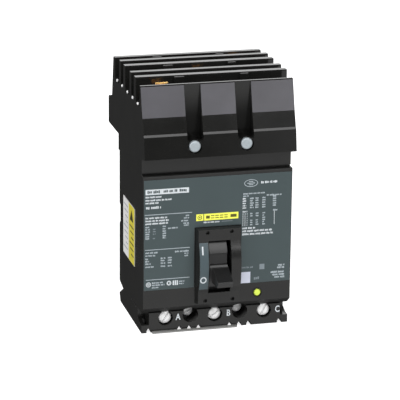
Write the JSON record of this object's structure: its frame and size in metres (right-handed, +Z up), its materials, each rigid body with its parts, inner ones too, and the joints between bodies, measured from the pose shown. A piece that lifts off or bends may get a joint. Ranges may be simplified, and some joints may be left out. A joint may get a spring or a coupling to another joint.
{
  "type": "molded case breaker",
  "caption": "Tall black moulded-case circuit breaker with a toggle handle in a raised escutcheon, load lugs at the bottom and a slotted plug-on bus housing at the top.",
  "frame": {"origin": "centre of the flat rear mounting face of the base", "axes": "+Z up towards the line end, -Y out of the front cover and handle, +X to the right seen from the front"},
  "size_m": [0.1146, 0.1389, 0.1923],
  "materials": {
    "black_plastic": "moulded, fine satin texture",
    "handle_plastic": "moulded, satin",
    "nameplate_grey": "printed film, satin",
    "position_label": "printed film, satin",
    "side_label": "printed sticker with a yellow band",
    "card_grey": "thin insulating sheet",
    "zinc_steel": "bright zinc plate",
    "disc_metal": "plated, satin",
    "steel": "ground",
    "dark_steel": "stamped",
    "copper": "drawn copper",
    "jaw_copper": "spring copper, bright",
    "bimetal": "rolled strip",
    "aluminium": "extruded, tin plated",
    "fibre": "vulcanised fibre with steel plates",
    "brown_phenolic": "phenolic moulding",
    "button_yellow": "bright moulded"
  },
  "bodies": {
    "root": {"base": "black_plastic", "cover": "black_plastic", "line_housing": "black_plastic", "nameplate": "nameplate_grey", "position_label": "position_label", "side_label": "side_label", "insulating_card": "card_grey", "mechanism_frame": "dark_steel", "cradle": "steel", "line_conductor_a": "copper", "line_jaw_a": "jaw_copper", "arc_chute_a": "fibre", "load_conductor_a": "copper", "bimetal_a": "bimetal", "magnet_a": "dark_steel", "lug_a": "aluminium", "line_conductor_b": "copper", "line_jaw_b": "jaw_copper", "arc_chute_b": "fibre", "load_conductor_b": "copper", "bimetal_b": "bimetal", "magnet_b": "dark_steel", "lug_b": "aluminium", "line_conductor_c": "copper", "line_jaw_c": "jaw_copper", "arc_chute_c": "fibre", "load_conductor_c": "copper", "bimetal_c": "bimetal", "magnet_c": "dark_steel", "lug_c": "aluminium", "trip_button_spring": "steel", "mounting_screw_left": "zinc_steel", "mounting_screw_right": "zinc_steel", "housing_screw_left": "disc_metal", "housing_screw_right": "disc_metal", "cover_screw_upper_left": "steel", "cover_screw_upper_right": "steel", "cover_screw_lower_left": "steel", "cover_screw_lower_right": "steel"},
    "handle": {"handle": "handle_plastic", "handle_yoke": "dark_steel", "main_spring_left": "steel", "main_spring_right": "steel"},
    "crossbar": {"crossbar": "brown_phenolic", "contact_arm_a": "copper", "contact_arm_b": "copper", "contact_arm_c": "copper"},
    "upper_link": {"upper_link_left": "steel", "upper_link_right": "steel", "knee_pin": "steel"},
    "lower_link": {"lower_link_left": "steel", "lower_link_right": "steel"},
    "trip_button": {"trip_button": "button_yellow"},
    "trip_bar": {"trip_bar": "brown_phenolic", "armature_a": "dark_steel", "armature_b": "dark_steel", "armature_c": "dark_steel"},
    "lug_screw_a": {"lug_screw_a": "zinc_steel"},
    "lug_screw_b": {"lug_screw_b": "zinc_steel"},
    "lug_screw_c": {"lug_screw_c": "zinc_steel"}
  },
  "joints": [
    {"name": "handle_tilt", "type": "hinge", "parent": "root", "child": "handle", "pos_m": [0, -0.0588, -0.0177], "axis": [-1, 0, 0], "range_deg": [0, 33], "deforming": ["main_spring_left", "main_spring_right"]},
    {"name": "crossbar_turn", "type": "hinge", "parent": "root", "child": "crossbar", "pos_m": [0, -0.0223, -0.002], "axis": [-1, 0, 0], "range_deg": [0, 33]},
    {"name": "upper_link_swing", "type": "hinge", "parent": "root", "child": "upper_link", "pos_m": [0, -0.0483, 0.012], "axis": [1, 0, 0], "range_deg": [0, 31.11]},
    {"name": "lower_link_swing", "type": "hinge", "parent": "crossbar", "child": "lower_link", "pos_m": [0, -0.03119, -0.003], "axis": [1, 0, 0], "range_deg": [0, 7.92]},
    {"name": "trip_button_push", "type": "slide", "parent": "root", "child": "trip_button", "axis": [0, 1, 0], "range_m": [0, 0.002], "stiffness_N_per_m": 150, "springref_m": -0.001, "deforming": ["trip_button_spring"]},
    {"name": "trip_bar_swing", "type": "hinge", "parent": "root", "child": "trip_bar", "pos_m": [0, -0.0403, -0.024], "axis": [1, 0, 0], "range_deg": [0, 6.14]},
    {"name": "lug_screw_a_turn", "type": "hinge", "parent": "root", "child": "lug_screw_a", "pos_m": [-0.0381, -0.0653, -0.0595], "axis": [0, 1, 0], "continuous": true},
    {"name": "lug_screw_b_turn", "type": "hinge", "parent": "root", "child": "lug_screw_b", "pos_m": [0, -0.0653, -0.0595], "axis": [0, 1, 0], "continuous": true},
    {"name": "lug_screw_c_turn", "type": "hinge", "parent": "root", "child": "lug_screw_c", "pos_m": [0.0381, -0.0653, -0.0595], "axis": [0, 1, 0], "continuous": true}
  ],
  "couplings": [
    {"joint": "crossbar_turn", "follows": "handle_tilt", "ratio": 1},
    {"joint": "upper_link_swing", "follows": "handle_tilt", "ratio": 0.94271},
    {"joint": "lower_link_swing", "follows": "handle_tilt", "ratio": 0.23997},
    {"joint": "trip_bar_swing", "follows": "trip_button_push", "rad_per_m": 53.581}
  ]
}
